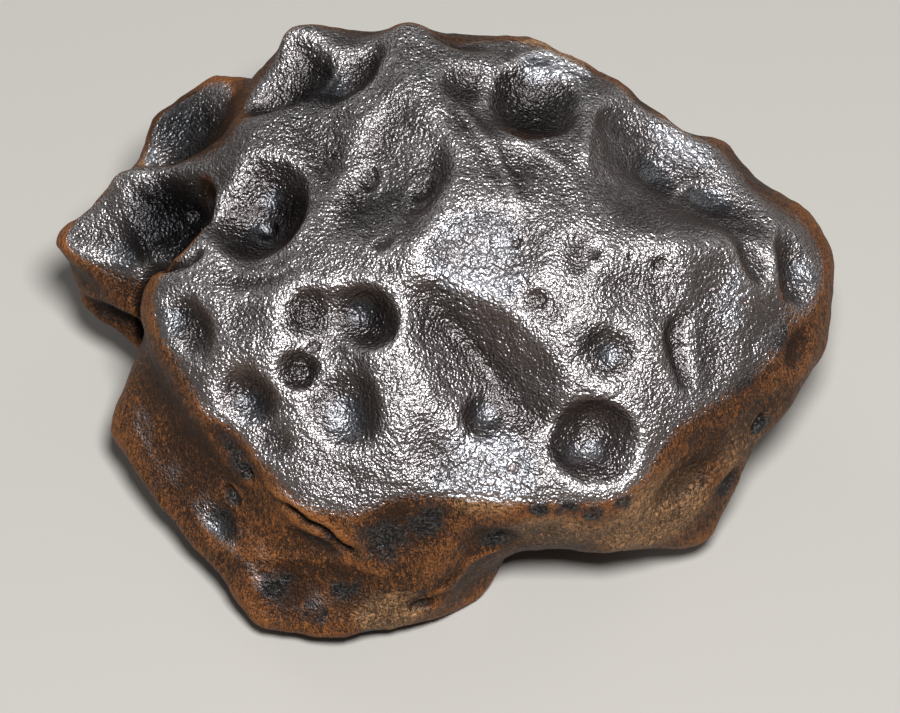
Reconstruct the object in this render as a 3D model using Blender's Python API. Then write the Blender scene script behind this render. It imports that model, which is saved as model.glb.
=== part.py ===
"""An iron meteorite the size of a fist: one solid lump, scooped all over by the hollows that melting air leaves.

The stone is described as it is held up to the eye, broad face forward, in millimetres: across runs to the
right, up runs up the broad face, and out runs from the broad face towards the eye. It is then leaned back and
set down on the small flat spot that it rests on. Its body is a smooth skin through hand-placed points. Hollows
are ellipsoids cut from that body, and the crests are what is left standing between them.
"""

import math
import random
from collections import namedtuple

import bmesh
import bpy
import numpy as np
from mathutils import Vector, noise

# Driving dimensions, in millimetres and degrees
LENGTH = 120.0
FACE_LEAN = 55.0
MIDDLE_HEIGHT = 33.0
SKIN_ROUNDING = 0.045
CREST_ROUNDING = 0.45
WANDER = 0.9
WANDER_WAVE = 9.0
WANDER_SHIFTS = [(17.3, 0.0, 0.0), (0.0, 41.9, 0.0), (0.0, 0.0, 73.1)]
LUMPINESS = 0.4
LUMP_WAVE = 6.5
SPHERE_STEPS = 7
EVEN_GRAIN = 0.8
KEPT_SHARE = 0.071
MM = 0.001

# The middle of the lump, which every point of the body is measured from
HEART = np.array([0.0, 2.0, -12.0])

# Points of the body: across, up, out
LOBE_EDGE = [
    (-46.6, 4.5, -26.3), (-52.3, 4.6, -26), (-56.2, 7.8, -24.5), (-59, 13.5, -21.5), (-61.2, 17, -18),
    (-60, 20, -16), (-57, 21.8, -15), (-53.5, 25.3, -13), (-51, 28, -10.5),
]
KNOB_EDGE = [
    (-48.4, 30, -21), (-47.8, 33.5, -23.5), (-45.3, 38, -25), (-41.5, 41, -24.5), (-38, 43.6, -22.5),
    (-35.3, 43.7, -21), (-32.3, 42.7, -19),
]
TOP_EDGE = [
    (-30, 43.6, -13), (-27.3, 46.2, -9.5), (-25, 50, -7), (-20.5, 50.3, -6.5), (-16, 48.8, -6.5),
    (-12, 49, -5.5), (-8, 50.8, -3), (-5.2, 50.6, -2), (-2, 49.8, -5), (3, 49.2, -8), (7, 49.4, -7.5),
    (12, 48.6, -6), (17, 46.6, -5), (20.5, 44.9, -4.5), (24.5, 43, -4.5), (27, 41.4, -4.5), (29.6, 38.1, -5),
    (33, 37.2, -7), (36, 34.4, -10), (40, 34, -11), (42.5, 33.5, -12),
]
RIGHT_EDGE = [
    (43.6, 31, -10), (45.2, 28.4, -8), (49, 26, -10), (53, 24.2, -11), (56.5, 21.3, -11), (58, 18.5, -10),
    (59.4, 15.5, -9), (59.4, 11.5, -9), (58.8, 7, -8), (58, 4, -8), (58.2, 1.3, -9), (56.2, -1.3, -8),
    (53.7, -5.5, -6), (51, -9.3, -6), (47.2, -13, -6), (45.6, -17, -7), (43, -22.5, -8), (41.2, -26.5, -10),
    (39, -28.7, -12),
]
BOTTOM_EDGE = [
    (33, -29.5, -7), (27, -29.6, -2), (23, -30, 0), (18, -29.5, -1), (12, -29.6, -3), (8.7, -30.8, -9),
    (6.8, -33.6, -12), (5.5, -36.5, -13.5), (3.2, -38.5, -12.8), (-0.5, -39.6, -12), (-4, -40.8, -8), (-9, -42, -6), (-13, -42, -5),
    (-16, -43.3, -4), (-22, -42.8, -4), (-28.5, -41.7, -4),
]
LEFT_EDGE = [
    (-31.5, -39.5, -5), (-35, -34.3, -7), (-40, -29, -9), (-45, -23, -11), (-49, -18, -13), (-52.7, -12, -17),
    (-52.3, -8, -16), (-50.4, -3.5, -15), (-48.3, 0.9, -14.3), (-46.2, 3.4, -20.3),
]
FRONT_CREST = [
    (-48, 28.2, -8.5), (-45, 28.2, -7), (-40, 28.6, -4.6), (-36, 30.3, -2.8), (-33, 33.3, -1.5),
    (-30, 36, -0.3), (-25, 36.3, 0.4), (-20, 36.8, 1.3), (-15, 38.6, 2.6), (-10, 41, 3.7), (-6, 42.8, 4.6),
    (-2, 38.3, 7.2), (2, 34, 10.3), (5.5, 29, 13.8), (8, 24, 17.6), (-6, 47, 1), (-21.5, 42, -3.5),
]
BROAD_FACE = [
    (3, 17, 20.5), (11, 18, 19.5), (1, 12.3, 21.4), (10, 10, 22), (18, 10, 22), (27, 12, 20), (33, 11, 18),
    (40, 13, 14), (44.5, 17, 10), (29, -4, 19.5), (20, -5, 21), (32, 2, 19), (39, -6, 14.5), (-7, 3, 21),
    (-4.5, -3, 21), (-1.5, -8.5, 20.5), (4, 10.5, 21.5), (9, 5.5, 21.5), (13.5, 0, 21), (15.5, -6, 20),
    (-3, 9.8, 18.4), (0, 5, 15.5), (4, 0.5, 14.8), (8, -3.5, 15.2), (11.5, -7.5, 16), (-3, -17, 19.5), (5, -21.3, 18), (10, -21.8, 18.3), (17, -22.5, 17.7), (24, -23.3, 16),
    (29, -17.5, 17), (33, -12, 16.5), (-15, -19, 17), (-20, -16, 16.5), (-18.5, 22, 10.8), (-19, 30, 4.2),
    (-17, 15, 15.5), (-29, 11, 13), (-36.5, 18, 6.5), (-35.5, 25, 1), (-36, 12, 9.5), (-44.5, 10.5, 5.5),
    (-43.5, 2.5, 7), (-39.5, -5, 9), (-37, -9.3, 10), (-31.5, -10.3, 12), (-29.5, -14, 12.5),
    (-25.3, -20, 13.8), (-21, -23.8, 14.4), (-16, -26.5, 13.6), (-14, -31, 8.5), (-8, -33, 6), (-2, -33, 6),
    (-8, -21.5, 17.5), (0, -22.5, 17), (-27, 4, 15.5), (-26, -7, 15), (-21, -11, 16.5), (-12, -14.5, 18.5),
    (-9, -2, 20.5), (-25, 10.8, 15), (-18, 11.5, 17), (-12, 13.6, 18), (-8, 14.2, 19), (-4, 13, 20.5),
]
UPPER_RIGHT = [
    (0, 45.6, 1), (6, 46, -0.5), (5.3, 41, 3.5), (5.3, 36, 7), (8, 33.5, 10), (13, 31, 12), (17, 30, 12.5),
    (20.5, 31.5, 11), (20.7, 37, 5), (21, 43, -1.5), (12, 47, -4.5), (10, 27, 14.5), (15, 23.5, 17),
    (20, 20, 19), (27, 17, 18.5), (34, 17.5, 16.5), (40, 17.5, 13), (22, 26, 13.5), (27.5, 21.5, 13.5),
    (26.5, 31, 3.5), (31, 26, 3), (37, 21.3, 4), (42, 20.5, 4.5), (30.5, 33, 1), (36, 29, 0),
    (41, 26, 0.5), (25, 38.5, 2.5), (30, 37, -0.5), (36, 33, -2.5), (41, 31, -4), (45, 25.5, -1.5),
    (45, 20.5, 5), (49.5, 21.5, 0), (53, 21, -4), (57, 17, -5), (57.3, 8, -3), (49.5, 8, 6), (46, 8, 9),
    (45, -1, 10), (52, -2.5, 3), (49, -5, 5), (43, -6.8, 10),
]
LEFT_FLANK = [
    (-50, -10, -12), (-45, -12, -7), (-40.5, -18, -4), (-37, -15, 1), (-44.5, -4, -4), (-46.7, 3, -3),
    (-47.3, 9, -3), (-46, 13, -1), (-33, -28, -0.5), (-25, -29, 4), (-25, -36, -1), (-15, -37, 1.5),
    (-8, -37, 2), (-38.5, -24, -4.5), (-33, -20, 1.5), (-29.5, -24, 3.5), (-20, -31, 4.5),
]
RIGHT_FLANK = [
    (7, -26.5, 9), (14, -26.5, 10), (22, -26.5, 9.5), (28, -25, 9), (33, -21, 8), (37, -15, 9),
    (41.5, -11.5, 7.5), (47, -8.5, 2), (42, -18, 1.5), (40, -25, -5), (33, -27, 0), (3, -33, 0),
    (0, -37, -3), (3.5, -28, 7), (4, -35, -8),
]
LOBE = [
    (-56, 20, -13), (-57, 16, -12), (-53, 17.5, -12), (-52, 13.3, -11), (-48.3, 11.8, -10.5),
    (-57, 11, -19), (-52, 8, -20), (-48.5, 7, -20), (-50.5, 24.5, -10),
]
KNOB = [
    (-45, 34.5, -20), (-41, 37, -19.5), (-37, 40, -19), (-46.5, 29.8, -18.5), (-41, 30.3, -17),
    (-37, 33, -15), (-34, 37, -14), (-32.3, 40.5, -13.5),
]
FRONT_POINTS = [
    *LOBE_EDGE, *KNOB_EDGE, *TOP_EDGE, *RIGHT_EDGE, *BOTTOM_EDGE, *LEFT_EDGE, *FRONT_CREST, *BROAD_FACE,
    *UPPER_RIGHT, *LEFT_FLANK, *RIGHT_FLANK, *LOBE, *KNOB,
]

# Points of the unseen sides as the stone lies: right, away, height above the table
BACK_WALL = [
    (-50, 32, 20), (-43, 42, 26), (-35, 44, 28), (-28, 46, 33), (-12, 50, 38), (4, 50, 37), (20, 45, 31),
    (34, 36, 26), (45, 29, 23), (54, 19, 20), (50, 6, 16), (42, -5, 12),
]
LOWER_WALL = [
    (-49, 26, 16), (-44, 20, 10), (-42, 32, 13), (-31, 40, 13), (-15, 44, 15), (2, 45, 15), (18, 40, 13),
    (33, 32, 11), (42, 21, 10), (44, 8, 8), (35, -5, 5), (28, -10, 6.5), (16, -11, 4.5), (3, -17, 1.5),
    (-7, -26, 2), (-19, -26, 2), (-31, -18, 4.5), (-40, -6, 7), (-46, 4, 10), (-30, 24, 5), (30, 18, 4),
    (-26, -6, 2.2), (0, 35, 4),
]
UNDERSIDE = [
    (0, 12, -1.5), (-13, 12, -1.2), (12, 13, -1.2), (0, 0, -1), (-12, 2, -0.6), (10, 2, -0.5), (0, 24, -0.6),
    (-12, 23, -0.3), (12, 23, -0.2), (-5, -12, 0.8), (-23, 12, 1), (22, 12, 1.2),
]

# Hollows seen from the front: place across and up, rim length and width, the turn of the length anticlockwise
# in degrees, and depth. A later one is cut into what the earlier ones leave.
Hollow = namedtuple("Hollow", "across up long wide turn deep")
FRONT_HOLLOWS = {
    "left bowl": Hollow(-28.7, 22.3, 18.5, 15.5, 75, 5.4),
    "left bowl floor": Hollow(-28, 19.3, 11, 8.5, 25, 2.2),
    "lobe hollow": Hollow(-43.3, 20.3, 17.5, 13.5, 45, 6.6),
    "lobe hollow, upper": Hollow(-41, 23, 8, 6, 40, 1.5),
    "oval pit": Hollow(-14, 6, 14, 10.5, -10, 4.9),
    "oval pit step": Hollow(-22.2, 6.4, 9, 8, 0, 2.2),
    "saddle": Hollow(-19, -0.5, 12, 8, -70, 1.3),
    "trough": Hollow(5, 0.8, 27, 11.5, -50, 2.2),
    "trough foot": Hollow(5.2, -8.8, 8, 6.5, 60, 2),
    "trough heel": Hollow(12, -8.5, 7, 6, 0, 1.2),
    "round pit": Hollow(21.5, -12.5, 13, 11.5, 0, 5),
    "round pit floor": Hollow(20.3, -15, 8, 5, -15, 1),
    "left cluster, outer": Hollow(-30.5, -5.8, 10.5, 9, -35, 2.8),
    "left cluster, small": Hollow(-23, -1.8, 6.8, 6, 90, 2.8),
    "left cluster, inner": Hollow(-16, -7.8, 14.5, 11.5, -60, 3),
    "left corner pit": Hollow(-40, 4.5, 11.5, 7, -55, 2.4),
    "left saucer": Hollow(-31.5, 5.5, 7, 7, 0, 0.7),
    "left cluster, foot": Hollow(-26.5, -12.8, 9, 5, -25, 1.2),
    "top bowl": Hollow(12.8, 39, 16.5, 15, 60, 4.6),
    "top bowl foot": Hollow(15.5, 34.5, 9, 6, 10, 1.2),
    "summit hollow": Hollow(2, 42, 8, 7.5, 70, 1.8),
    "summit saucer": Hollow(9.5, 29.5, 8, 5.5, -30, 1),
    "right trough": Hollow(32, 27.5, 26, 12, -42, 2.2),
    "right trough, upper floor": Hollow(31, 27.5, 8.5, 6.5, -45, 1.6),
    "right trough, lower floor": Hollow(39.7, 22.7, 12, 6, -12, 1.8),
    "crevice": Hollow(-47.6, 7.3, 13, 4, 75, 2.4),
    "far right hollow": Hollow(53, 13.7, 14, 8, 95, 3),
    "far right groove": Hollow(47.3, 15.3, 16, 5, -80, 1.6),
    "middle scoop": Hollow(-8.5, 27, 24, 18, 80, 2.1),
    "middle scoop, right furrow": Hollow(-3.8, 26, 14, 7.5, 80, 1.7),
    "middle scoop, left furrow": Hollow(-13, 25.5, 14, 6, 75, 0.9),
    "back hollow": Hollow(-21.5, 42, 12, 9, 20, 3.2),
    "behind the crest": Hollow(-27, 40.2, 14, 6.5, 10, 3.2),
    "behind the crest, right": Hollow(-15.3, 42.6, 10.5, 5.5, 28, 2.6),
    "back slot": Hollow(-13, 44.3, 9, 5, 45, 1.6),
    "knob hollow": Hollow(-43, 34, 8, 5.5, 40, 1.4),
    "knob valley": Hollow(-38, 34.6, 19, 5.5, 42, 2.2),
    "lower scoop": Hollow(-6.5, -27, 15, 12, 0, 1.3),
    "flank pit": Hollow(-35.3, -25.7, 7, 5, -30, 1.8),
    "flank dimple": Hollow(-30.7, -17.3, 3.5, 3, 90, 1.2),
    "flank strip": Hollow(-33.5, -14, 10, 4.5, -50, 1),
    "lower pit": Hollow(-4.7, -37.8, 6.5, 3.5, 10, 1.2),
    "under the crack": Hollow(-21, -28.3, 10, 4.5, -25, 1.2),
    "lower right pit": Hollow(7, -27, 6, 4.5, 0, 1.2),
    "lower right scoop": Hollow(35, -19.5, 11, 8, 60, 1.6),
    "lower right edge": Hollow(42.5, -20, 8, 4.5, 65, 1.2),
    "right valley": Hollow(34.9, 1.5, 15, 5.5, -85, 2.5),
    "right slope": Hollow(40.5, 2.5, 16, 8, 85, 1),
    "right saucer": Hollow(24.1, 0.4, 10, 9, 0, 2.2),
    "centre": Hollow(5, 16.5, 17, 13, 15, 1.3),
    "centre, lower right": Hollow(13, 8, 9, 6, -10, 0.8),
    "centre, right": Hollow(29, 10, 15, 11, 0, 1.1),
    "centre dent": Hollow(19.3, 15.5, 8, 5, 80, 1.2),
    "lower face": Hollow(-2.5, -14.5, 12, 9, -60, 0.9),
    "left face": Hollow(-29.5, 12.5, 10, 5, -15, 0.7),
    "right face": Hollow(40, 12, 10, 8, 40, 0.9),
    "right edge pit": Hollow(53.5, 1, 7, 6, 0, 1.6),
    "top notch": Hollow(1.5, 48, 9, 4, 0, 1.3),
}

# Hollows of the unseen sides, spread evenly over them, with their sizes drawn from a fixed seed
BACK_HOLLOWS = 56
BACK_HOLLOW_SIZES = (8.0, 17.0)
BACK_HOLLOW_DEPTHS = (0.14, 0.22)
BACK_SEED = 11
HIDDEN_BY = 9.0
FLAT_SPOT_RADIUS = 20.0
FLAT_SPOT_AWAY = 12.0


def smooth_skin(points):
    """A function from unit directions to the body's radius: a smooth skin through the given points."""
    arms = np.array(points) - HEART
    reach = np.linalg.norm(arms, axis=1)
    ways = arms / reach[:, None]

    def spread(directions):
        apart = np.linalg.norm(directions[:, None, :] - ways[None, :, :], axis=2)
        return np.sqrt(apart**2 + SKIN_ROUNDING**2)

    share = np.linalg.solve(spread(ways), reach)
    return lambda directions: spread(directions) @ share


def held_from_lying(right, away, height):
    """A place given as the stone lies, turned back into across, up and out."""
    lean = math.radians(FACE_LEAN)
    rise = height - MIDDLE_HEIGHT
    up = away * math.sin(lean) + rise * math.cos(lean)
    out = rise * math.sin(lean) - away * math.cos(lean)
    return (right, up, out)


def lying_from_held(points):
    """Places given as across, up and out, as the stone lies."""
    lean = math.radians(FACE_LEAN)
    across, up, out = points.T
    away = up * math.sin(lean) - out * math.cos(lean)
    height = MIDDLE_HEIGHT + up * math.cos(lean) + out * math.sin(lean)
    return np.column_stack([across, away, height])


def unit(vectors):
    return vectors / np.linalg.norm(vectors, axis=-1, keepdims=True)


class Stone:
    """The body and the hollows cut from it so far, as a radius for each direction from the heart."""

    def __init__(self, points):
        self.skin = smooth_skin(points)
        self.cuts = []

    def radius(self, directions):
        reach = -self.skin(directions) / CREST_ROUNDING
        for centre, squeeze in self.cuts:
            start = squeeze @ (HEART - centre)
            step = directions @ squeeze.T
            a = (step * step).sum(axis=1)
            b = step @ start
            inside = b * b - a * (start @ start - 1)
            entry = (-b - np.sqrt(np.maximum(inside, 0))) / a
            met = (inside > 0) & (entry > 0)
            reach = np.where(met, np.logaddexp(reach, -entry / CREST_ROUNDING), reach)
        return -reach * CREST_ROUNDING

    def surface(self, directions):
        return HEART + directions * self.radius(directions)[:, None]

    def seen_at(self, across, up):
        """Where a line of sight straight at the broad face first meets the stone."""
        outs = np.arange(60.0, -60.0, -0.25)
        line = np.column_stack([np.full_like(outs, across), np.full_like(outs, up), outs])
        reach = np.linalg.norm(line - HEART, axis=1)
        return line[np.argmax(reach < self.radius(unit(line - HEART)))]

    def plane_around(self, place, radius):
        """The middle and the outward normal of a ring on the stone around a place."""
        way = unit(place - HEART)
        side = unit(np.cross((0, 1, 0), way))
        over = np.cross(way, side)
        turns = np.linspace(0, 2 * math.pi, 12, endpoint=False)
        tilt = radius / np.linalg.norm(place - HEART)
        around = way + tilt * (np.outer(np.cos(turns), side) + np.outer(np.sin(turns), over))
        rim = self.surface(unit(around))
        middle = rim.mean(axis=0)
        normal = np.linalg.svd(rim - middle)[2][2]
        return middle, normal * np.sign(normal @ way)

    def cut(self, place, long, wide, turn, deep):
        """Cuts an ellipsoid whose rim lies on the stone around the place, and whose floor is that deep."""
        mean = math.sqrt(long * wide) / 2
        middle, normal = self.plane_around(place, mean)
        along = np.array([math.cos(math.radians(turn)), math.sin(math.radians(turn)), 0.0])
        along = unit(along - normal * (along @ normal))
        across = np.cross(normal, along)
        round_radius = (mean**2 + deep**2) / (2 * deep)
        lift = round_radius - deep
        at_rim = math.sqrt(1 - (lift / round_radius) ** 2)
        squeeze = np.array(
            [along * 2 * at_rim / long, across * 2 * at_rim / wide, normal / round_radius]
        )
        self.cuts.append((middle + normal * lift, squeeze))


def is_hidden(stone, place, reach):
    """Whether everything within reach of a place lies well behind the side that is seen."""
    for turn in range(0, 360, 45):
        across = place[0] + reach * math.cos(math.radians(turn))
        up = place[1] + reach * math.sin(math.radians(turn))
        if stone.seen_at(across, up)[2] - place[2] < HIDDEN_BY:
            return False
    return True


def cut_unseen_sides(stone):
    """Cuts hollows all over the sides that face away, clear of the outline and of the flat spot."""
    draw = random.Random(BACK_SEED)
    golden = math.pi * (3 - math.sqrt(5))
    for n in range(2 * BACK_HOLLOWS):
        out = 1 - (n + 0.5) / BACK_HOLLOWS
        level = math.sqrt(1 - out * out)
        turn = n * golden + draw.uniform(-0.25, 0.25)
        long = draw.uniform(*BACK_HOLLOW_SIZES)
        wide = long * draw.uniform(0.7, 1)
        deep = wide * draw.uniform(*BACK_HOLLOW_DEPTHS)
        angle = draw.uniform(0, 180)
        way = np.array([level * math.cos(turn), level * math.sin(turn), out])
        place = stone.surface(way[None, :])[0]
        right, away, height = lying_from_held(place[None, :])[0]
        on_spot = height < 4 and math.hypot(right, away - FLAT_SPOT_AWAY) < FLAT_SPOT_RADIUS + long / 2
        squarely = stone.plane_around(place, wide / 2)[1] @ way > 0.72
        if squarely and not on_spot and is_hidden(stone, place, long / 3):
            stone.cut(place, long, wide, angle, deep)


def carved_stone():
    unseen = [held_from_lying(*place) for place in [*BACK_WALL, *LOWER_WALL, *UNDERSIDE]]
    stone = Stone(FRONT_POINTS + unseen)
    for hollow in FRONT_HOLLOWS.values():
        place = stone.seen_at(hollow.across, hollow.up)
        stone.cut(place, hollow.long, hollow.wide, hollow.turn, hollow.deep)
    cut_unseen_sides(stone)
    return stone


def noise_at(places):
    return np.array([noise.noise(Vector(place)) for place in places])


def uneven_surface(stone, directions):
    """The stone's surface with its hollows and crests wandering a little, and low lumps over all of it."""
    places = stone.surface(directions)
    wander = np.column_stack([noise_at(places / WANDER_WAVE + shift) for shift in WANDER_SHIFTS])
    lumps = noise_at(places / LUMP_WAVE)
    reach = np.linalg.norm(places - HEART, axis=1)[:, None]
    wandering = unit(directions + WANDER * wander / reach)
    return HEART + directions * (stone.radius(wandering) + LUMPINESS * lumps)[:, None]


def iron_material():
    material = bpy.data.materials.new("weathered_iron")
    material.use_nodes = True
    shader = material.node_tree.nodes["Principled BSDF"]
    shader.inputs["Base Color"].default_value = (0.07, 0.055, 0.048, 1)
    shader.inputs["Metallic"].default_value = 0.9
    shader.inputs["Roughness"].default_value = 0.4
    return material


def stone_object(stone):
    ball = bmesh.new()
    bmesh.ops.create_icosphere(ball, subdivisions=SPHERE_STEPS, radius=1)
    directions = unit(np.array([v.co[:] for v in ball.verts]))
    places = np.round(lying_from_held(uneven_surface(stone, directions)), 4) * MM
    for vertex, place in zip(ball.verts, places):
        vertex.co = place
    mesh = bpy.data.meshes.new("meteorite")
    ball.to_mesh(mesh)
    ball.free()
    mesh.shade_smooth()
    mesh.materials.append(iron_material())
    thing = bpy.data.objects.new("meteorite", mesh)
    bpy.context.scene.collection.objects.link(thing)
    return thing


def table_block():
    """What the underside is cut flat by, so that the stone rests on a real flat spot."""
    side = 2 * LENGTH * MM
    bm = bmesh.new()
    bmesh.ops.create_cube(bm, size=side)
    bmesh.ops.translate(bm, verts=bm.verts, vec=Vector((0, 0, -side / 2)))
    mesh = bpy.data.meshes.new("table_block")
    bm.to_mesh(mesh)
    bm.free()
    block = bpy.data.objects.new("table_block", mesh)
    block.hide_render = True
    block.display_type = "WIRE"
    bpy.context.scene.collection.objects.link(block)
    return block


def centre_on_table(thing):
    """Moves the stone sideways so that the origin is under the middle of its box."""
    bpy.context.view_layer.update()
    solid = thing.evaluated_get(bpy.context.evaluated_depsgraph_get()).to_mesh()
    points = np.array([v.co[:] for v in solid.vertices])
    middle = (points.min(axis=0) + points.max(axis=0)) / 2
    thing.location = (-middle[0], -middle[1], 0)


def main():
    for leftover in list(bpy.data.objects):
        bpy.data.objects.remove(leftover)
    thing = stone_object(carved_stone())
    even = thing.modifiers.new("even", "REMESH")
    even.mode = "VOXEL"
    even.voxel_size = EVEN_GRAIN * MM
    even.use_smooth_shade = True
    thin = thing.modifiers.new("thin", "DECIMATE")
    thin.ratio = KEPT_SHARE
    rest = thing.modifiers.new("rest", "BOOLEAN")
    rest.operation = "DIFFERENCE"
    rest.object = table_block()
    centre_on_table(thing)


main()
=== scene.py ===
"""The looks of an iron meteorite that lies on a pale floor.

The stone is described as it is held up to the eye, broad face forward, in millimetres: across runs to the
right, up runs up the broad face, and out runs from the broad face towards the eye.
"""

import math
from collections import namedtuple
from functools import partial

import bmesh
import bpy
import numpy as np
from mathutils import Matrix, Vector
from mathutils.bvhtree import BVHTree


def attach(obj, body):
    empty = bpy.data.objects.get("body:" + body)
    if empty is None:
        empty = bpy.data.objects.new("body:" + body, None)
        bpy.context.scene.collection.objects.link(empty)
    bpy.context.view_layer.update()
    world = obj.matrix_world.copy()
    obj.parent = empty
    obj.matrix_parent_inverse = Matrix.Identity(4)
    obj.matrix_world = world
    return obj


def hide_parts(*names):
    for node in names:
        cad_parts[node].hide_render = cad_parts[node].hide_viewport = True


MM = 0.001

# How the held stone is leaned back and set down
FACE_LEAN = math.radians(55)
MIDDLE = np.array([0.87, -8.41, 33.0])
ACROSS = np.array([1.0, 0.0, 0.0])
UP = np.array([0.0, math.sin(FACE_LEAN), math.cos(FACE_LEAN)])
OUT = np.array([0.0, -math.cos(FACE_LEAN), math.sin(FACE_LEAN)])

# Lines of sight at the broad face start this far out, in millimetres
FAR_OUT = 100

# The mesh: one face is about this wide, in millimetres, and points closer than this many metres are joined first
FACE_WIDTH = 0.62
SAME_PLACE = 1e-6

# Small pits: place across and up, length and width, the turn of the length anticlockwise in degrees, depth, and
# the height of the rim
Pit = namedtuple("Pit", "across up long wide turn deep rim")
SMALL_PITS = {
    "ring by the small pit": Pit(-20.5, 1.5, 2.6, 2.4, 0, 0.5, 0.15),
    "upper right, first": Pit(22, 15.5, 3.6, 3, 60, 0.6, 0.03),
    "upper right, second": Pit(27, 15, 1.8, 1.6, 0, 0.4, 0.03),
    "upper right, third": Pit(31.5, 14, 2.8, 2.4, 20, 0.6, 0.04),
    "above the centre": Pit(10, 17, 2.6, 2.2, 0, 0.4, 0.04),
    "below the trough": Pit(9.5, -17, 2.4, 2.2, 40, 0.4, 0.04),
    "flank, bright": Pit(-30.6, -17.8, 3.8, 2.8, -60, 1.2, 0.15),
    "flank, upper": Pit(-33.2, -21.3, 4.8, 2.8, -30, 1.2, 0.1),
    "flank, glint": Pit(-28.4, -33.5, 2.6, 1.6, -30, 0.8, 0.05),
    "flank, tiny": Pit(-12, -29.5, 1.8, 1.5, 0, 0.4, 0.05),
    "foot, bright": Pit(-4.5, -38, 5, 3, 10, 0.9, 0.1),
    "knob ring": Pit(-38.5, 22, 4, 3.6, 0, 0.6, 0.1),
    "inner bowl": Pit(-27.5, 19, 3.4, 3, 0, 0.8, 0.15),
    "lower right": Pit(7, -27, 3.2, 2.6, 0, 0.8, 0.1),
    "right end": Pit(47, -10, 4.4, 2.4, 65, 0.9, 0.1),
    "shallow": Pit(13, 8.5, 4, 3.4, 0, 0.4, 0.1),
    "scoop, first": Pit(-4, 25, 5, 4, 60, 0.6, 0.1),
    "scoop, second": Pit(-12, 27, 5, 4, 80, 0.6, 0.1),
    "scoop, third": Pit(-10, 17, 4.5, 3.6, 30, 0.4, 0.05),
}

# The rim of a small pit, in radii of the pit: where its top runs, and half its width
RIM_PLACE = 1.15
RIM_WIDTH = 0.22

# Grooves and ridges: the points they run through, half their width, and their depth, which is negative for a ridge
Line = namedtuple("Line", "points half_width deep")
LINES = {
    "crack": Line([(-25.3, -22.2), (-23.2, -24), (-22, -25.4), (-19.5, -26.2), (-17, -28.6), (-14.4, -30)], 0.8, 2.0),
    "ledge over the crack": Line(
        [(-28, -19.5), (-24.5, -21.8), (-21.5, -23.6), (-18, -26), (-14.5, -28.6)], 0.9, -0.5),
    "crevice": Line(
        [(-48.5, 2.5), (-48, 6), (-47.5, 9.5), (-46.5, 12), (-45, 13.5), (-40, 14.5), (-37.5, 16.5)], 0.8, 1.6),
    "flank ridge": Line([(-39, -23.5), (-36.5, -28.5), (-32, -30), (-22, -30.5), (-15, -31), (-8, -34)], 1.5, -0.4),
    "right groove": Line([(37, 8), (33.3, 3), (34.6, -1), (36.8, -5.5)], 1.5, 0.6),
    "top bowl, upper rim": Line([(8, 43.5), (11, 45.8), (15, 46.5), (19, 44.8), (22, 42.5)], 1.0, -0.4),
    "crest right of the top bowl": Line([(20.3, 29), (20.6, 33), (21.3, 36.5), (24, 39.3)], 0.8, -0.45),
    "crest left of the top bowl": Line([(1, 38.5), (4, 34.5), (6.5, 31), (8.5, 27), (10, 22.5)], 0.9, -0.4),
    "crest below the top bowl": Line([(8, 34), (11, 32.5), (14, 31), (17.5, 28)], 0.7, -0.35),
    "crest in the right trough": Line([(33.5, 23.5), (35, 25.4), (37, 26.6), (39, 27)], 0.5, -0.3),
    "left bowl, lower rim": Line([(-34.5, 13), (-31, 12.2), (-26, 12.8), (-22.5, 15)], 0.9, -0.3),
    "bottom edge": Line([(-5, -37), (0, -35), (3, -31), (8, -29)], 0.9, -0.5),
}
# The crack and the crevice are painted near black, as shade
PAINTED_SHADE_LINES = ["crack", "crevice"]

# Along a line, in millimetres: the step between its spots, how far around them it is felt, and the length over which
# its ends fade, down to a last share of it
LINE_STEP = 0.4
LINE_REACH = 4
LINE_FADE = 2
LINE_END = 0.15

# Smooth floors of hollows: place across and up, and radius
SMOOTH_FLOORS = [
    (-28.5, 18.5, 3.6), (-27, 24, 2.6), (5.2, -9.4, 3.2), (-15.5, -9.5, 4.6), (-29.5, -7.5, 3.6), (18.5, -15, 2.6),
    (22, -14.5, 2.4), (30.5, 28, 3.8), (39.5, 23.3, 4.4), (-50.5, 15.5, 3.6), (-42.5, 5, 3.2), (54.3, 12.5, 3),
    (-13, 7, 3), (24, 0.5, 2.6), (-35.5, -26, 2.6), (13.5, 44, 3.4), (-43, 21, 6.5), (-41.5, 36, 5), (-18.5, 40.5, 4),
]
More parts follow.
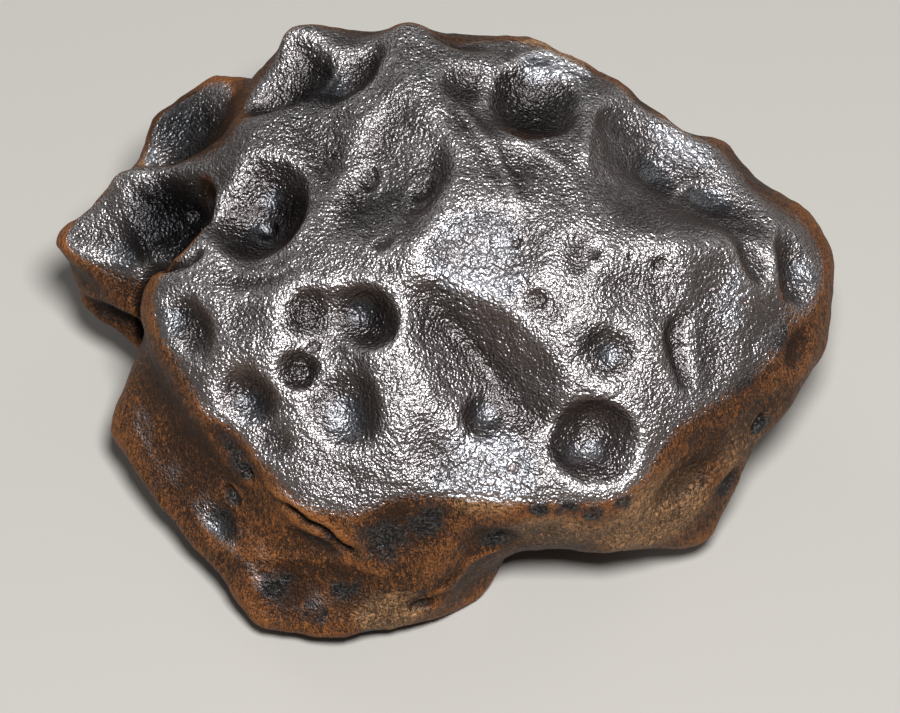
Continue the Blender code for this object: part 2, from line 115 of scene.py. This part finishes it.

# Painted light and shade: places where the colour is made darker, as painted shade, in hollows, pits and on the upper
# left, and brighter, as painted highlights, on the centre, the lower band, rims and the lower flanks: place across
# and up, radius, and how many times as bright. The same spots also set the rings of the grain and the roughness.
# Where it is rusty, brighter also means more tan
PaintedLightSpot = namedtuple("PaintedLightSpot", "across up radius bright")
PAINTED_LIGHT_SPOTS = {
    "lobe hollow": PaintedLightSpot(-43.2, 20.3, 8.5, 0.11),
    "left bowl, right wall": PaintedLightSpot(-24, 20.5, 5.5, 0.4),
    "left bowl, foot": PaintedLightSpot(-29.5, 16.8, 4.5, 0.7),
    "oval pit": PaintedLightSpot(-13, 6, 6, 0.55),
    "oval pit, left": PaintedLightSpot(-21.5, 6, 4.5, 0.6),
    "top bowl": PaintedLightSpot(13, 38, 8.5, 0.42),
    "middle scoop, right": PaintedLightSpot(-4.3, 25.5, 6.5, 0.6),
    "middle scoop, left": PaintedLightSpot(-12, 22.5, 6, 0.6),
    "knob": PaintedLightSpot(-41, 35.5, 8, 0.35),
    "knob foot": PaintedLightSpot(-46.5, 30.5, 3.5, 2.0),
    "back hollow": PaintedLightSpot(-20.5, 41.2, 5.5, 0.4),
    "back slot": PaintedLightSpot(-12.8, 43.6, 4, 0.5),
    "lobe wall": PaintedLightSpot(-53, 5.5, 6, 0.6),
    "summit": PaintedLightSpot(-5.5, 39, 6, 0.65),
    "summit, right": PaintedLightSpot(2.5, 42.5, 5, 0.7),
    "outer cluster": PaintedLightSpot(-29.5, -5.3, 4.2, 0.6),
    "small pit": PaintedLightSpot(-23, -1.8, 3.4, 0.6),
    "left corner pit": PaintedLightSpot(-39.5, 4.5, 4.5, 0.6),
    "right slope": PaintedLightSpot(41, 9, 7, 1.25),
    "far right hollow": PaintedLightSpot(54, 16.5, 5, 0.9),
    "top rim": PaintedLightSpot(16, 46.6, 7.5, 2.6),
    "right trough wall": PaintedLightSpot(35.5, 33.5, 6.5, 1.8),
    "beside the centre": PaintedLightSpot(14.5, 17, 6, 0.75),
    "saucer wall": PaintedLightSpot(20, 3, 3.5, 0.6),
    "centre": PaintedLightSpot(4.5, 14.5, 8.5, 1.9),
    "lower band": PaintedLightSpot(5, -18, 9, 1.8),
    "lower right flank": PaintedLightSpot(31, -24.5, 13, 2.2),
    "bottom edge, right": PaintedLightSpot(15, -26.5, 8, 2.2),
    "foot": PaintedLightSpot(-9, -39.5, 7, 2.2),
    "right flank": PaintedLightSpot(45, -13, 8, 1.6),
    "upper left": PaintedLightSpot(-32, 31, 24, 0.68),
}

# Where bare iron, near black, shows through the rust of the flanks: place across and up, and radius
BARE_SPOTS = [
    (-33.5, -12.5, 3), (-31.5, -16, 3), (-30.5, -17.8, 2.6), (-32.6, -21.5, 2.6), (-35.2, -25.7, 3.2),
    (-18.7, -28.2, 3.4), (-10, -27.5, 5.5), (-4, -25, 4.5), (-20.7, -39.5, 3), (-26.5, -35.5, 3.4), (-15.8, -36, 3.4),
    (-4.6, -38, 2.6), (7, -27, 3), (13.5, -22.8, 2.6), (17.5, -23.2, 3), (22, -23.6, 3), (26, -22.4, 2.6),
    (42.3, -19.5, 2.5), (47.3, -9.8, 2.5), (44, -3, 3), (50, 3, 3),
]

# Walls of hollows that stay iron, though they face aside: place across and up, and radius
IRON_SPOTS = [
    (26, 27.5, 5), (31, 24, 5.5), (37, 20.5, 5.5), (42, 18.5, 4.5), (46.5, 14, 4), (22, -8, 7), (24, -15, 6),
    (16, -13, 5), (35, 2, 6), (24, 2, 6),
]

# Places on the flanks that are rusty though they face the eye
RUST_SPOTS = [(-25, -35.5, 8), (-31, -29, 5), (-44, -14, 6), (-40, -20, 5)]

# The shares of its radius between which a round spot or a patch of painted light fades out
SPOT_FADE = (0.3, 1.3)
PAINTED_LIGHT_FADE = (0.4, 1.1)

# How often the skin is averaged with its neighbours to tell fine creases, broad hollows and the broad shape
CREASE_SPREADS = 12
HOLLOW_SPREADS = 150
SHAPE_SPREADS = 160

# How much the broad shape faces the eye and the sky where a flank ends and where the broad face begins
FACE_BEGINS = (0.27, 0.42)

# The heights above the floor, in millimetres, between which the relief sets in
RELIEF_SETS_IN = (0.3, 3)

# The relief: sizes and heights of its low lumps and finer puckers in metres, and its fixed seed
RELIEF = {
    "Lump Size": 4.5 * MM,
    "Lump Height": 0.9 * MM,
    "Pucker Size": 1.5 * MM,
    "Pucker Height": 0.22 * MM,
    "Seed": 3.0,
}
PUCKER_SEED_SHIFT = 7.5
RELIEF_ROUGHNESS = 0.55
RELIEF_ON_SMOOTH_FLOORS = 0.35

# The grain of the surface: cells of the rings to a metre, how fast the rings follow each other in a cell, how far the
# cells sway and how high the grain is in metres, the share of the crumbs, and how the strands are drawn out, where
# less is longer
RING_CELLS = 1000.0
RING_WAVES = 5.5
SWAY = 0.0008
GRAIN_HEIGHT = 0.0003
CRUMB_SHARE = 1.2
STRAND_STRETCH = (1.0, 1.0, 0.25)

# The noises of the material: how fine they are to a metre, steps of finer detail, and distortion
Noise = namedtuple("Noise", "scale steps distortion", defaults=(0.0,))
NOISES = {
    "sway": Noise(500.0, 1.0),
    "crumbs": Noise(2300.0, 1.0),
    "strands": Noise(2600.0, 1.5, 1.4),
    "patches": Noise(60.0, 4.0),
    "floor edges": Noise(350.0, 3.0),
    "bare edges": Noise(260.0, 5.0),
}
FLOOR_EDGE_SHARE = 1.2
BARE_EDGE_SHARE = 3.0

# How much the strands and patches lighten the rust of the flanks, and how much creases and hollows darken it as
# painted shade
STRANDS_LIGHTEN = 2.6
PATCHES_LIGHTEN = 1.3
CREASE_SHADE_ON_RUST = 1.5
HOLLOW_SHADE_ON_RUST = 0.35

# How much a wall that looks down or aside, with its painted reflection of a brown floor, counts towards a flank
REFLECTING_WALLS_TO_FLANK = 0.7

# The ramps of the material: where what is read starts and ends, and what comes out there
Ramp = namedtuple("Ramp", "low high to_low to_high", defaults=(0.0, 1.0))
RAMPS = {
    "tone to rings": Ramp(0.95, 1.35, 0.14, 0.4),
    "noise to smooth floor": Ramp(0.6, 1.75),
    "smooth floor to grain": Ramp(0.0, 1.0, 1.0, 0.5),
    "facing to painted reflection": Ramp(0.26, 0.48, 1.0, 0.0),
    "cell to pore": Ramp(0.05, 0.22, 0.45, 1.0),
    "tone to painted highlight iron": Ramp(1.0, 1.3),
    "crease to crease shade iron": Ramp(-0.12, 0.1),
    "hollow to hollow shade iron": Ramp(0.3, 1.8),
    "crease to worn crest and painted highlight": Ramp(-0.2, -0.08, 1.0, 0.0),
    "patch to pale painted reflection": Ramp(0.4, 0.65),
    "fibre to orange": Ramp(-0.15, 0.85),
    "fibre to pale tan": Ramp(-0.3, 0.7),
    "tone to tan": Ramp(1.0, 2.0, 0.0, 0.65),
    "tone to dim rust": Ramp(0.5, 1.0, 0.3, 1.0),
    "spot to bare iron": Ramp(0.25, 1.2),
    "crumb to grey iron": Ramp(0.4, 0.7),
    "away to flank": Ramp(0.3, 0.7),
    "hollow to no flank": Ramp(0.8, 1.4, 1.0, 0.0),
    "flank to roughness": Ramp(0.0, 1.0, 0.36, 0.5),
    "tone to roughness": Ramp(1.0, 1.4, 0.0, 0.43),
}

# The colours of the material
COLOURS = {
    "iron": (0.375, 0.35, 0.355),
    # A painted highlight tint, cool, where the painted light is bright
    "painted highlight iron": (0.36, 0.37, 0.40),
    # Painted shade in fine creases
    "crease shade iron": (0.125, 0.112, 0.112),
    # Painted shade in broad hollows
    "hollow shade iron": (0.12, 0.107, 0.107),
    "smooth floor": (0.135, 0.138, 0.15),
    # Worn iron on crests, lighter also as a painted highlight
    "crest": (0.48, 0.455, 0.46),
    # A painted reflection of a brown floor, where the surface looks down or aside
    "wall": (0.11, 0.088, 0.08),
    "pale painted reflection": (0.19, 0.145, 0.125),
    # Rust, partly a painted reflection of a brown floor
    "dark rust": (0.027, 0.012, 0.006),
    "orange rust": (0.22, 0.079, 0.020),
    "dark tan": (0.07, 0.038, 0.018),
    "pale tan": (0.42, 0.235, 0.11),
    "bare iron": (0.022, 0.02, 0.019),
    "grey bare iron": (0.10, 0.095, 0.094),
    # Painted shade in the crack and the crevice
    "painted shade line": (0.006, 0.004, 0.003),
}

# How much of the light the rust mirrors, from 0 to 1
RUST_SHEEN = 0.12

# The floor: how far it reaches from the middle in metres, and its looks
FLOOR_REACH = 6.0
FLOOR_COLOUR = (0.40, 0.385, 0.36)
FLOOR_ROUGHNESS = 0.85
FLOOR_SHEEN = 0.2

# The camera looks straight at the broad face
PHOTO_WIDTH = 900
MM_PER_PIXEL = 0.153
CAMERA_AWAY = 1.2
CAMERA_CLIP = 0.05
SENSOR = 36.0

# A soft lamp beside the camera and two weaker broad ones for the other sides: place and size in metres, and power
Lamp = namedtuple("Lamp", "spot size power")
LAMPS = {
    "key": Lamp(MIDDLE * MM + 0.9 * OUT + 0.16 * UP + 0.06 * ACROSS, 0.18, 14),
    "back_left": Lamp((-1.1, 1.2, 1.0), 1.0, 5),
    "back_right": Lamp((1.3, 1.0, 0.8), 1.0, 4),
}

# The dim pale room: its colour, how strongly it lights the stone, and how bright it is seen behind it
ROOM_COLOUR = (1.0, 0.98, 0.95)
ROOM_LIGHT = 0.09
ROOM_SEEN = 0.8


def place(across, up, out):
    """A point of the held stone, in millimetres of the lying one."""
    return MIDDLE + across * ACROSS + up * UP + out * OUT


def even_mesh(node):
    """A closed smooth copy of the part's solid, in small faces of one size."""
    mesh = node.data.copy()
    bm = bmesh.new()
    bm.from_mesh(mesh)
    bmesh.ops.remove_doubles(bm, verts=bm.verts, dist=SAME_PLACE)
    bm.to_mesh(mesh)
    bm.free()
    mesh.shade_smooth()
    thing = bpy.data.objects.new("meteorite_stone", mesh)
    bpy.context.scene.collection.objects.link(thing)
    rounded = thing.modifiers.new("rounded", "SUBSURF")
    rounded.levels = rounded.render_levels = 1
    even = thing.modifiers.new("even", "REMESH")
    even.mode = "VOXEL"
    even.voxel_size = FACE_WIDTH * MM
    even.use_smooth_shade = True
    smooth = thing.modifiers.new("smooth", "SMOOTH")
    smooth.factor = 0.5
    smooth.iterations = 3
    bake_modifiers(thing)
    return thing


def bake_modifiers(thing):
    """Turns a thing and its modifiers into a plain mesh."""
    bpy.context.view_layer.update()
    shaped = thing.evaluated_get(bpy.context.evaluated_depsgraph_get())
    mesh = bpy.data.meshes.new_from_object(shaped)
    thing.modifiers.clear()
    thing.data = mesh


class Skin:
    """The points of a mesh in millimetres, with their normals and neighbours."""

    def __init__(self, mesh):
        self.mesh = mesh
        self.points = read(mesh.vertices, "co", 3) / MM
        self.refresh()
        edges = read(mesh.edges, "vertices", 2, int)
        self.ends = np.concatenate([edges, edges[:, ::-1]])
        self.count = np.bincount(self.ends[:, 0], minlength=len(self.points))

    def refresh(self):
        """Puts the moved points into the mesh, and reads its normals and its shape again."""
        self.mesh.vertices.foreach_set("co", (self.points * MM).astype(np.float32).ravel())
        self.mesh.update()
        self.normals = read(self.mesh.vertex_normals, "vector", 3)
        self.tree = BVHTree.FromPolygons(self.points.tolist(), [list(p.vertices) for p in self.mesh.polygons])

    def spread(self, values, times):
        """Values averaged with their neighbours' values, so many times over."""
        start, end = self.ends.T
        for _ in range(times):
            columns = [np.bincount(start, weights=c[end], minlength=len(c)) for c in np.atleast_2d(values.T)]
            mean = np.array(columns) / self.count
            values = 0.5 * (values + (mean[0] if values.ndim == 1 else mean.T))
        return values

    def seen_at(self, across, up):
        """Where a line of sight at the broad face meets the stone."""
        return np.array(self.tree.ray_cast(Vector(place(across, up, FAR_OUT)), Vector(-OUT))[0])

    def around(self, across, up, radius, fade):
        """1 at a place on the stone and 0 away from it, fading between two shares of the radius."""
        apart = np.linalg.norm(self.points - self.seen_at(across, up), axis=1)
        return 1 - between(apart, fade[0] * radius, fade[1] * radius)

    def press(self, pit):
        """Presses a small pit with a low rim into the skin."""
        spot = self.seen_at(pit.across, pit.up)
        near = np.linalg.norm(self.points - spot, axis=1) < pit.long
        facing = self.normals[near].mean(axis=0)
        facing /= np.linalg.norm(facing)
        along = math.cos(math.radians(pit.turn)) * ACROSS + math.sin(math.radians(pit.turn)) * UP
        along -= facing * (along @ facing)
        along /= np.linalg.norm(along)
        away = self.points - spot
        reach = np.hypot(away @ along / (pit.long / 2), away @ np.cross(facing, along) / (pit.wide / 2))
        reach[np.abs(away @ facing) > pit.long] = np.inf
        bowl = pit.deep * np.maximum(1 - reach**2, 0) ** 1.5
        rim = pit.rim * np.exp(-(((reach - RIM_PLACE) / RIM_WIDTH) ** 2))
        self.points += (rim - bowl)[:, None] * facing

    def nearness(self, line):
        """How near each point is to a line drawn on the stone: 1 on the line, 0 well away from it."""
        corners = np.array(line.points, float)
        lengths = np.linalg.norm(np.diff(corners, axis=0), axis=1)
        along = np.concatenate([[0], np.cumsum(lengths)])
        steps = np.arange(0, along[-1], LINE_STEP)
        across, up = (np.interp(steps, along, column) for column in corners.T)
        spots = np.array([self.seen_at(*spot) for spot in zip(across, up)])
        low, high = spots.min(axis=0) - LINE_REACH, spots.max(axis=0) + LINE_REACH
        near = np.flatnonzero(((self.points > low) & (self.points < high)).all(axis=1))
        apart = np.linalg.norm(self.points[near][:, None] - spots[None], axis=2)
        taper = np.minimum(1, np.minimum(steps, along[-1] - steps) / LINE_FADE + LINE_END)
        closest = apart.argmin(axis=1)
        share = np.zeros(len(self.points))
        share[near] = np.exp(-((apart.min(axis=1) / line.half_width) ** 2)) * taper[closest]
        return share

    def hollowness(self, spreads):
        """How far the skin lies below its surroundings, in millimetres, where more spreads look further around."""
        return ((self.spread(self.points, spreads) - self.points) * self.normals).sum(axis=1)

    def faces_out(self):
        """How much the broad shape of the stone faces the eye, times how much it faces the sky."""
        facing = self.spread(self.normals, SHAPE_SPREADS)
        facing /= np.linalg.norm(facing, axis=1)[:, None]
        return np.maximum(facing @ OUT, 0) * facing[:, 2]


def read(items, name, width, kind=float):
    """One kind of value from all the items of a mesh, a row for each item."""
    values = np.empty(len(items) * width, np.float32 if kind is float else np.int32)
    items.foreach_get(name, values)
    return values.reshape(-1, width).astype(kind)


def keep(mesh, name, values):
    """Stores one number for each point, under a name that the material or the relief reads."""
    layer = mesh.attributes.new(name, "FLOAT", "POINT")
    layer.data.foreach_set("value", values.astype(np.float32))


def between(values, low, high):
    """0 below low, 1 above high, and a smooth step between them."""
    share = np.clip((values - low) / (high - low), 0, 1)
    return share * share * (3 - 2 * share)


def detail(thing):
    """Presses the small pits, cuts and raises the lines, and stores what the relief and the material read."""
    skin = Skin(thing.data)
    for pit in SMALL_PITS.values():
        skin.press(pit)
    # Painted shade along the crack and the crevice
    dark = np.zeros(len(skin.points))
    for name, line in LINES.items():
        share = skin.nearness(line)
        skin.points -= (line.deep * share)[:, None] * skin.normals
        if name in PAINTED_SHADE_LINES:
            dark = np.maximum(dark, share)
    skin.refresh()

    keep(skin.mesh, "crease", skin.hollowness(CREASE_SPREADS))
    keep(skin.mesh, "hollow", skin.hollowness(HOLLOW_SPREADS))
    # Rust, partly a painted reflection of a brown floor, goes where the broad shape faces away from the eye and the
    # sky
    away = np.maximum(1 - between(skin.faces_out(), *FACE_BEGINS), near_spots(skin, RUST_SPOTS))
    keep(skin.mesh, "away", away * np.clip(1 - 2 * near_spots(skin, IRON_SPOTS), 0, 1))
    keep(skin.mesh, "smooth_floor", near_spots(skin, SMOOTH_FLOORS))
    keep(skin.mesh, "bare", near_spots(skin, BARE_SPOTS))
    keep(skin.mesh, "painted_shade_line", dark)
    # The painted light and shade, stored for the material
    keep(skin.mesh, "painted_light", painted_light_map(skin))
    keep(skin.mesh, "raised", between(skin.points[:, 2], *RELIEF_SETS_IN))


def near_spots(skin, spots):
    """1 at the middle of each round spot and 0 away from all of them."""
    return np.max([skin.around(*spot, SPOT_FADE) for spot in spots], axis=0, initial=0)


def painted_light_map(skin):
    """How many times as bright as elsewhere the colour is painted at each point, as painted light and shade."""
    bright = np.ones(len(skin.points))
    for painted_light in PAINTED_LIGHT_SPOTS.values():
        bright *= painted_light.bright ** skin.around(painted_light.across, painted_light.up, painted_light.radius, PAINTED_LIGHT_FADE)
    return bright


def add(tree, kind, settings=None, **inputs):
    """Adds a node with its settings, and a link or a value for each named input."""
    node = tree.nodes.new(kind)
    for name, value in (settings or {}).items():
        setattr(node, name, value)
    for name, value in inputs.items():
        socket = socket_called(node, name)
        if isinstance(value, bpy.types.NodeSocket):
            tree.links.new(value, socket)
        else:
            socket.default_value = value
    return node


def socket_called(node, name):
    """The input named so, or numbered so for a name such as n1."""
    if name[0] == "n" and name[1:].isdigit():
        return node.inputs[int(name[1:])]
    wanted = name.replace("_", " ").lower()
    return next(s for s in node.inputs if s.name.lower() == wanted and s.enabled)


def sum_of(tree, kind, first, second, operation="ADD"):
    """The sum of two inputs, or what another operation makes of them."""
    return add(tree, kind, {"operation": operation}, n0=first, n1=second).outputs[0]


def relief_tree():
    """Low lumps and finer puckers all over the stone, as geometry nodes."""
    tree = bpy.data.node_groups.new("stone_relief", "GeometryNodeTree")
    face = tree.interface
    face.new_socket("Geometry", in_out="INPUT", socket_type="NodeSocketGeometry")
    for name in RELIEF:
        face.new_socket(name, in_out="INPUT", socket_type="NodeSocketFloat")
    face.new_socket("Material", in_out="INPUT", socket_type="NodeSocketMaterial")
    face.new_socket("Geometry", in_out="OUTPUT", socket_type="NodeSocketGeometry")
    source = add(tree, "NodeGroupInput").outputs
    spot = add(tree, "GeometryNodeInputPosition").outputs[0]
    normal = add(tree, "GeometryNodeInputNormal").outputs[0]

    def waves(size, height, seed_shift, detail_steps):
        per_metre = sum_of(tree, "ShaderNodeMath", 1.0, source[size], "DIVIDE")
        seed = sum_of(tree, "ShaderNodeMath", source["Seed"], seed_shift)
        noise = add(tree, "ShaderNodeTexNoise", {"noise_dimensions": "4D"}, Vector=spot, W=seed, Scale=per_metre,
                    Detail=detail_steps, Roughness=RELIEF_ROUGHNESS)
        level = sum_of(tree, "ShaderNodeMath", noise.outputs[0], 0.5, "SUBTRACT")
        return sum_of(tree, "ShaderNodeMath", level, source[height], "MULTIPLY")

    lumps = waves("Lump Size", "Lump Height", 0.0, 1.0)
    puckers = waves("Pucker Size", "Pucker Height", PUCKER_SEED_SHIFT, 0.0)
    height = sum_of(tree, "ShaderNodeMath", lumps, puckers)
    flatter, raised = (
        add(tree, "GeometryNodeInputNamedAttribute", {"data_type": "FLOAT"}, Name=name).outputs[0]
        for name in ("smooth_floor", "raised")
    )
    rough_share = add(tree, "ShaderNodeMapRange", None, Value=flatter, To_Min=1.0,
                      To_Max=RELIEF_ON_SMOOTH_FLOORS).outputs[0]
    height = sum_of(tree, "ShaderNodeMath", height, rough_share, "MULTIPLY")
    height = sum_of(tree, "ShaderNodeMath", height, raised, "MULTIPLY")
    offset = add(tree, "ShaderNodeVectorMath", {"operation": "SCALE"}, n0=normal, Scale=height).outputs[0]
    moved = add(tree, "GeometryNodeSetPosition", None, Geometry=source["Geometry"], Offset=offset).outputs[0]
    real = add(tree, "GeometryNodeRealizeInstances", None, Geometry=moved).outputs[0]
    painted = add(tree, "GeometryNodeSetMaterial", None, Geometry=real, Material=source["Material"]).outputs[0]
    add(tree, "NodeGroupOutput", None, Geometry=painted)
    return tree


def add_relief(thing, material):
    """Lays the relief over the stone, paints it, and turns both into a plain mesh."""
    relief = thing.modifiers.new("relief", "NODES")
    relief.node_group = relief_tree()
    values = {**RELIEF, "Material": material}
    for item in relief.node_group.interface.items_tree:
        if item.item_type == "SOCKET" and item.in_out == "INPUT" and item.name in values:
            relief[item.identifier] = values[item.name]
    bake_modifiers(thing)


def weathered_iron():
    """Iron with a fine grain where the broad face looks out, with painted light and shade on it, and fibrous rust on
    the flanks that is partly a painted reflection of a brown floor.
    """
    material = bpy.data.materials.new("weathered_iron")
    material.use_nodes = True
    tree = material.node_tree
    shader = tree.nodes["Principled BSDF"]
    where = add(tree, "ShaderNodeTexCoord").outputs["Object"]

    def number(name):
        return add(tree, "ShaderNodeAttribute", {"attribute_name": name}).outputs["Fac"]

    def ramp(name, value):
        low, high, to_low, to_high = RAMPS[name]
        return add(tree, "ShaderNodeMapRange", {"interpolation_type": "SMOOTHSTEP"}, Value=value, From_Min=low,
                   From_Max=high, To_Min=to_low, To_Max=to_high).outputs[0]

    def noise(name, vector=where, output=0):
        kind = NOISES[name]
        return add(tree, "ShaderNodeTexNoise", None, Vector=vector, Scale=kind.scale, Detail=kind.steps,
                   Distortion=kind.distortion).outputs[output]

    def maths(operation, first, second=0.0):
        return sum_of(tree, "ShaderNodeMath", first, second, operation)

    def scaled(vector, share):
        return add(tree, "ShaderNodeVectorMath", {"operation": "SCALE"}, n0=vector, Scale=share).outputs[0]

    def mixed(share, first, second):
        """A colour between two others, each of them a link or a name."""
        node = add(tree, "ShaderNodeMix", {"data_type": "RGBA"}, n0=share)
        for socket, value in ((node.inputs[6], first), (node.inputs[7], second)):
            if isinstance(value, str):
                socket.default_value = (*COLOURS[value], 1)
            else:
                tree.links.new(value, socket)
        return node.outputs[2]

    plus, minus, times, larger = (partial(maths, kind) for kind in ("ADD", "SUBTRACT", "MULTIPLY", "MAXIMUM"))
    hollow, crease, away, painted_light = number("hollow"), number("crease"), number("away"), number("painted_light")

    # The grain: rings about a millimetre across with finer crumbs on them, and drawn-out strands on the flanks
    swayed = sum_of(tree, "ShaderNodeVectorMath", where, scaled(noise("sway", output="Color"), SWAY))
    cells = add(tree, "ShaderNodeTexVoronoi", {"feature": "F1"}, Vector=swayed, Scale=RING_CELLS).outputs["Distance"]
    rings = maths("SINE", times(cells, RING_WAVES))
    crumbs = noise("crumbs")
    grain = plus(times(rings, ramp("tone to rings", painted_light)), times(crumbs, CRUMB_SHARE))
    drawn_out = sum_of(tree, "ShaderNodeVectorMath", swayed, STRAND_STRETCH, "MULTIPLY")
    strands = minus(noise("strands", drawn_out), 0.5)
    grain = plus(grain, times(strands, away))
    smooth_noise = plus(number("smooth_floor"), times(noise("floor edges"), FLOOR_EDGE_SHARE))
    smooth = ramp("noise to smooth floor", smooth_noise)
    height = times(grain, ramp("smooth floor to grain", smooth))
    bump = add(tree, "ShaderNodeBump", None, Height=height, Strength=1.0, Distance=GRAIN_HEIGHT).outputs[0]

    # Iron where the broad face looks out, and a browner dark where a wall of a hollow looks down or aside, down to
    # the facets of the grain: a painted reflection of a brown floor
    level = add(tree, "ShaderNodeSeparateXYZ", None, n0=bump).outputs["Z"]
    towards = add(tree, "ShaderNodeVectorMath", {"operation": "DOT_PRODUCT"}, n0=bump, n1=tuple(OUT)).outputs["Value"]
    wall = ramp("facing to painted reflection", times(larger(towards, 0.0), level))
    # Painted highlight tint where the painted light is bright
    iron_colour = mixed(ramp("tone to painted highlight iron", painted_light), "iron", "painted highlight iron")
    # Painted shade: darker iron in fine creases and in broad hollows
    iron_colour = mixed(ramp("crease to crease shade iron", crease), iron_colour, "crease shade iron")
    iron_colour = mixed(ramp("hollow to hollow shade iron", hollow), iron_colour, "hollow shade iron")
    iron_colour = mixed(smooth, iron_colour, "smooth floor")
    # Crests lighter, as wear and as a painted highlight
    iron_colour = mixed(ramp("crease to worn crest and painted highlight", crease), iron_colour, "crest")
    patches = noise("patches")
    floor_reflection_colour = mixed(ramp("patch to pale painted reflection", patches), "wall", "pale painted reflection")
    # Painted light and shade: the colour is scaled by the painted light, and darker in the pores of the grain
    shade = times(painted_light, ramp("cell to pore", cells))
    front_colour = scaled(mixed(wall, iron_colour, floor_reflection_colour), shade)

    # Fibrous rust on the flanks, partly a painted reflection of a brown floor: orange or tan on its strands, more tan
    # and dimmer with the painted light and shade, near black in creases as painted shade, with bare iron showing
    # through
    fibres = plus(times(strands, STRANDS_LIGHTEN), times(minus(patches, 0.5), PATCHES_LIGHTEN))
    fibres = minus(minus(fibres, times(crease, CREASE_SHADE_ON_RUST)), times(hollow, HOLLOW_SHADE_ON_RUST))
    rust_and_reflection_colour = mixed(ramp("fibre to orange", fibres), "dark rust", "orange rust")
    tan = mixed(ramp("fibre to pale tan", fibres), "dark tan", "pale tan")
    rust_and_reflection_colour = scaled(mixed(ramp("tone to tan", painted_light), rust_and_reflection_colour, tan), ramp("tone to dim rust", painted_light))
    ragged = times(minus(noise("bare edges"), 0.5), BARE_EDGE_SHARE)
    bare = ramp("spot to bare iron", plus(number("bare"), ragged))
    bare_colour = mixed(ramp("crumb to grey iron", crumbs), "bare iron", "grey bare iron")
    rust_and_reflection_colour = mixed(bare, rust_and_reflection_colour, bare_colour)

    # Each in its place, with the crack and the crevice painted near black as shade
    # Rust, partly a painted reflection of a brown floor, where the broad shape looks away and where walls look down
    # or aside
    flank = ramp("away to flank", plus(away, times(minus(wall, 0.5), REFLECTING_WALLS_TO_FLANK)))
    flank = times(flank, ramp("hollow to no flank", hollow))
    dark = number("painted_shade_line")
    rusty = larger(times(flank, minus(1.0, bare)), dark)
    looks = {
        "Base Color": mixed(dark, mixed(flank, front_colour, rust_and_reflection_colour), "painted shade line"),
        "Metallic": minus(1.0, rusty),
        "Roughness": larger(ramp("flank to roughness", flank), ramp("tone to roughness", painted_light)),
        "Normal": bump,
    }
    for name, value in looks.items():
        tree.links.new(value, shader.inputs[name])
    shader.inputs["Specular IOR Level"].default_value = RUST_SHEEN
    return material


def floor():
    """A pale floor under the stone, as part of the studio."""
    far = FLOOR_REACH
    mesh = bpy.data.meshes.new("floor")
    mesh.from_pydata([(-far, -far, 0), (far, -far, 0), (far, far, 0), (-far, far, 0)], [], [(0, 1, 2, 3)])
    material = bpy.data.materials.new("pale_floor")
    material.use_nodes = True
    shader = material.node_tree.nodes["Principled BSDF"]
    shader.inputs["Base Color"].default_value = (*FLOOR_COLOUR, 1)
    shader.inputs["Roughness"].default_value = FLOOR_ROUGHNESS
    shader.inputs["Specular IOR Level"].default_value = FLOOR_SHEEN
    mesh.materials.append(material)
    thing = bpy.data.objects.new("floor", mesh)
    bpy.context.scene.collection.objects.link(thing)


def aim(thing, spot):
    """Puts a camera or a lamp in its place and turns it to the middle of the stone."""
    thing.location = spot
    thing.rotation_mode = "QUATERNION"
    thing.rotation_quaternion = (Vector(MIDDLE * MM) - Vector(spot)).to_track_quat("-Z", "Y")
    bpy.context.scene.collection.objects.link(thing)


def camera():
    """A camera that looks straight at the broad face, with a lens for the photo's scale."""
    lens = bpy.data.cameras.new("camera")
    lens.sensor_width = SENSOR
    lens.lens = SENSOR * CAMERA_AWAY / (PHOTO_WIDTH * MM_PER_PIXEL * MM)
    lens.clip_start = CAMERA_CLIP
    eye = bpy.data.objects.new("camera", lens)
    aim(eye, MIDDLE * MM + CAMERA_AWAY * OUT)
    bpy.context.scene.camera = eye


def studio():
    """The lamps and the dim pale room around them."""
    for name, (spot, size, power) in LAMPS.items():
        lamp = bpy.data.lights.new(name, "AREA")
        lamp.shape = "DISK"
        lamp.size = size
        lamp.energy = power
        aim(bpy.data.objects.new(name, lamp), spot)
    world = bpy.data.worlds.new("room")
    world.use_nodes = True
    bpy.context.scene.world = world
    backdrop = world.node_tree.nodes["Background"]
    backdrop.inputs["Color"].default_value = (*ROOM_COLOUR, 1)
    seen = add(world.node_tree, "ShaderNodeLightPath").outputs["Is Camera Ray"]
    strength = add(world.node_tree, "ShaderNodeMapRange", None, Value=seen, To_Min=ROOM_LIGHT, To_Max=ROOM_SEEN)
    world.node_tree.links.new(strength.outputs[0], backdrop.inputs["Strength"])


bpy.context.scene.view_settings.view_transform = "Standard"
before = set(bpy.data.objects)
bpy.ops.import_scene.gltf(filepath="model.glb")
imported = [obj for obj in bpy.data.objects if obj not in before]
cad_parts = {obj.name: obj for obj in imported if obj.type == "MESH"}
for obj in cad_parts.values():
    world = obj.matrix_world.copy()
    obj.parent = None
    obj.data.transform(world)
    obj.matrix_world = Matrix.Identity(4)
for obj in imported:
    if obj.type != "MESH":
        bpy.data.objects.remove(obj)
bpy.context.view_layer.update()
camera()
studio()
floor()
stone = even_mesh(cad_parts["meteorite"])
detail(stone)
add_relief(stone, weathered_iron())
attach(stone, "root")
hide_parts("meteorite")
